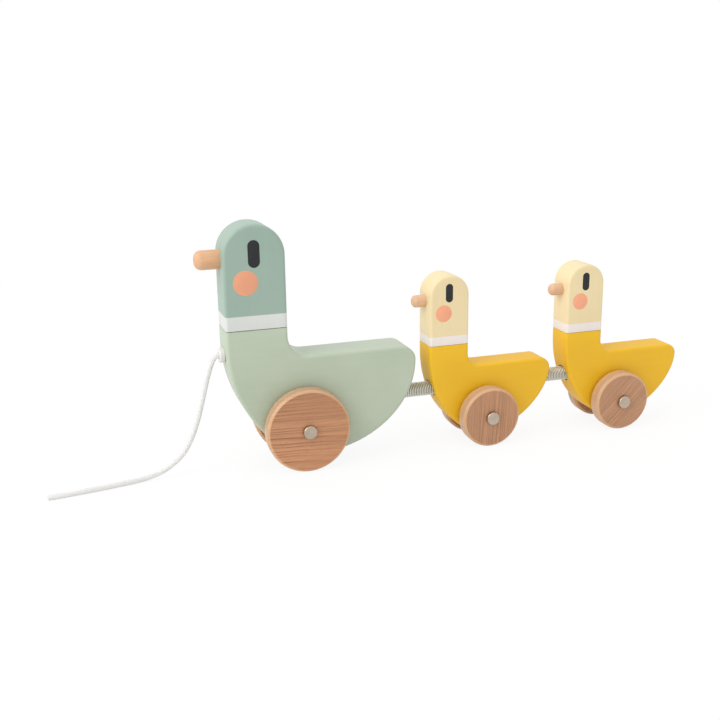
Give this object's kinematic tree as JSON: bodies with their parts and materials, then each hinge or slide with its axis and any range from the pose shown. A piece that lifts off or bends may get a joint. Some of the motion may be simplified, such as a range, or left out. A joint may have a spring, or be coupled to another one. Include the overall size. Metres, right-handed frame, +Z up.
{
  "type": "pull-along duck train",
  "caption": "Wooden pull-along toy: a mother duck and her ducklings on wheels, joined in a row by coil springs and drawn by a cord.",
  "frame": {"origin": "on the floor under the middle of the train, halfway from the mother's beak tip to the rear duckling's tail", "axes": "+X from the mother back along the train, so the ducks face -X; +Y to the ducks' right; +Z up"},
  "size_m": [0.4506, 0.0554, 0.1635],
  "materials": {
    "sage_paint": "satin painted wood",
    "sea_green_paint": "satin painted wood",
    "yellow_paint": "satin painted wood",
    "cream_paint": "satin painted wood",
    "beak_paint": "satin painted dowel",
    "birch": "bare turned dowel",
    "wheel_wood": "bare beech with a light oil",
    "axle_steel": "drawn rod",
    "cap_nickel": "warm nickel plate",
    "spring_steel": "plated spring wire",
    "plug_plastic": "moulded",
    "cord_cotton": "woven cord"
  },
  "bodies": {
    "mother": {"mother_body": "sage_paint", "mother_head": "sea_green_paint", "mother_beak": "beak_paint", "mother_neck_dowels": "birch", "mother_axle": "axle_steel", "mother_axle_caps": "cap_nickel", "mother_spring_peg": "birch", "cord_plug": "plug_plastic", "cord_knot": "cord_cotton", "pull_cord": "cord_cotton"},
    "front_link": {"front_link_spring": "spring_steel"},
    "rear_link": {"rear_link_spring": "spring_steel"},
    "front_duckling": {"front_duckling_body": "yellow_paint", "front_duckling_head": "cream_paint", "front_duckling_beak": "beak_paint", "front_duckling_neck_dowels": "birch", "front_duckling_axle": "axle_steel", "front_duckling_axle_caps": "cap_nickel", "front_duckling_spring_pegs": "birch"},
    "rear_duckling": {"rear_duckling_body": "yellow_paint", "rear_duckling_head": "cream_paint", "rear_duckling_beak": "beak_paint", "rear_duckling_neck_dowels": "birch", "rear_duckling_axle": "axle_steel", "rear_duckling_axle_caps": "cap_nickel", "rear_duckling_spring_peg": "birch"},
    "mother_wheel_left": {"mother_wheel_left": "wheel_wood"},
    "mother_wheel_right": {"mother_wheel_right": "wheel_wood"},
    "front_duckling_wheel_left": {"front_duckling_wheel_left": "wheel_wood"},
    "front_duckling_wheel_right": {"front_duckling_wheel_right": "wheel_wood"},
    "rear_duckling_wheel_left": {"rear_duckling_wheel_left": "wheel_wood"},
    "rear_duckling_wheel_right": {"rear_duckling_wheel_right": "wheel_wood"}
  },
  "joints": [
    {"name": "mother_wheel_left_spin", "type": "hinge", "parent": "mother", "child": "mother_wheel_left", "pos_m": [-0.1096, 0, 0.028], "axis": [0, 1, 0], "continuous": true},
    {"name": "mother_wheel_right_spin", "type": "hinge", "parent": "mother", "child": "mother_wheel_right", "pos_m": [-0.1096, 0, 0.028], "axis": [0, 1, 0], "continuous": true},
    {"name": "front_duckling_wheel_left_spin", "type": "hinge", "parent": "front_duckling", "child": "front_duckling_wheel_left", "pos_m": [0.0216, 0, 0.021], "axis": [0, 1, 0], "continuous": true},
    {"name": "front_duckling_wheel_right_spin", "type": "hinge", "parent": "front_duckling", "child": "front_duckling_wheel_right", "pos_m": [0.0216, 0, 0.021], "axis": [0, 1, 0], "continuous": true},
    {"name": "rear_duckling_wheel_left_spin", "type": "hinge", "parent": "rear_duckling", "child": "rear_duckling_wheel_left", "pos_m": [0.125, 0, 0.021], "axis": [0, 1, 0], "continuous": true},
    {"name": "rear_duckling_wheel_right_spin", "type": "hinge", "parent": "rear_duckling", "child": "rear_duckling_wheel_right", "pos_m": [0.125, 0, 0.021], "axis": [0, 1, 0], "continuous": true},
    {"name": "front_link_yaw", "type": "hinge", "parent": "mother", "child": "front_link", "pos_m": [-0.0325, 0, 0.0405], "axis": [0, 0, 1], "range_deg": [-22, 22], "stiffness_Nm_per_rad": 0.3, "deforming": ["front_link_spring"]},
    {"name": "front_link_pitch", "type": "hinge", "parent": "front_link", "child": "front_duckling", "pos_m": [-0.0213, 0, 0.0405], "axis": [0, 1, 0], "range_deg": [-13, 13], "stiffness_Nm_per_rad": 0.3, "deforming": ["front_link_spring"]},
    {"name": "rear_link_yaw", "type": "hinge", "parent": "front_duckling", "child": "rear_link", "pos_m": [0.0742, 0, 0.0405], "axis": [0, 0, 1], "range_deg": [-22, 22], "stiffness_Nm_per_rad": 0.3, "deforming": ["rear_link_spring"]},
    {"name": "rear_link_pitch", "type": "hinge", "parent": "rear_link", "child": "rear_duckling", "pos_m": [0.0832, 0, 0.0405], "axis": [0, 1, 0], "range_deg": [-13, 13], "stiffness_Nm_per_rad": 0.3, "deforming": ["rear_link_spring"]}
  ]
}
